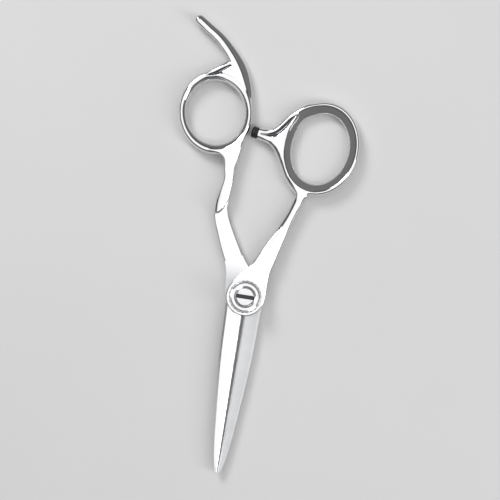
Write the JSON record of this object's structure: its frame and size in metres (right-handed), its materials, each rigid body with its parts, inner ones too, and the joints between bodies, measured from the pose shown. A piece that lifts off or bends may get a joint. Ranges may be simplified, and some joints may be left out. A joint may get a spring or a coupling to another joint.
{
  "type": "hair cutting shears",
  "caption": "Offset-handle hair cutting shears with a finger rest, oval rings, a rubber bumper and an adjustable ball-bearing pivot.",
  "frame": {"origin": "on the pivot axis, at the rear face of the pivot stud's head, which the shears rest on", "axes": "+Z along the pivot axis towards the tension dial, -Y along the closed blades to the tips, +Y to the handles, +X from the finger ring to the thumb ring"},
  "size_m": [0.0647, 0.1565, 0.01],
  "materials": {
    "blade_steel": "satin ground",
    "polished_handle": "mirror polished",
    "bumper_rubber": "matte",
    "pivot_steel": "turned",
    "nylon": "matte",
    "cage_brass": "satin",
    "bearing_chrome": "polished",
    "dial_steel": "polished, knurled rim"
  },
  "bodies": {
    "finger_side": {"finger_blade": "blade_steel", "finger_handle": "polished_handle", "pivot_stud": "pivot_steel", "race_rear": "pivot_steel", "thrust_washer": "nylon", "click_plate": "pivot_steel", "cap_screw": "pivot_steel"},
    "thumb_side": {"thumb_blade": "blade_steel", "thumb_handle": "polished_handle", "bumper": "bumper_rubber", "pivot_bush": "nylon", "race_front": "pivot_steel"},
    "dial": {"tension_dial": "dial_steel", "click_spring": "pivot_steel"},
    "ball_cage": {"bearing_cage": "cage_brass", "bearing_balls": "bearing_chrome"}
  },
  "joints": [
    {"name": "blade_pivot", "type": "hinge", "parent": "finger_side", "child": "thumb_side", "pos_m": [0, 0, 0.00352], "axis": [0, 0, -1], "range_deg": [0, 90]},
    {"name": "dial_turn", "type": "hinge", "parent": "finger_side", "child": "dial", "pos_m": [0, 0, 0.00352], "axis": [0, 0, 1], "range_deg": [-180, 180]},
    {"name": "cage_turn", "type": "hinge", "parent": "finger_side", "child": "ball_cage", "pos_m": [0, 0, 0.00352], "axis": [0, 0, -1], "range_deg": [0, 45]}
  ],
  "couplings": [
    {"joint": "cage_turn", "follows": "blade_pivot", "ratio": 0.5}
  ]
}
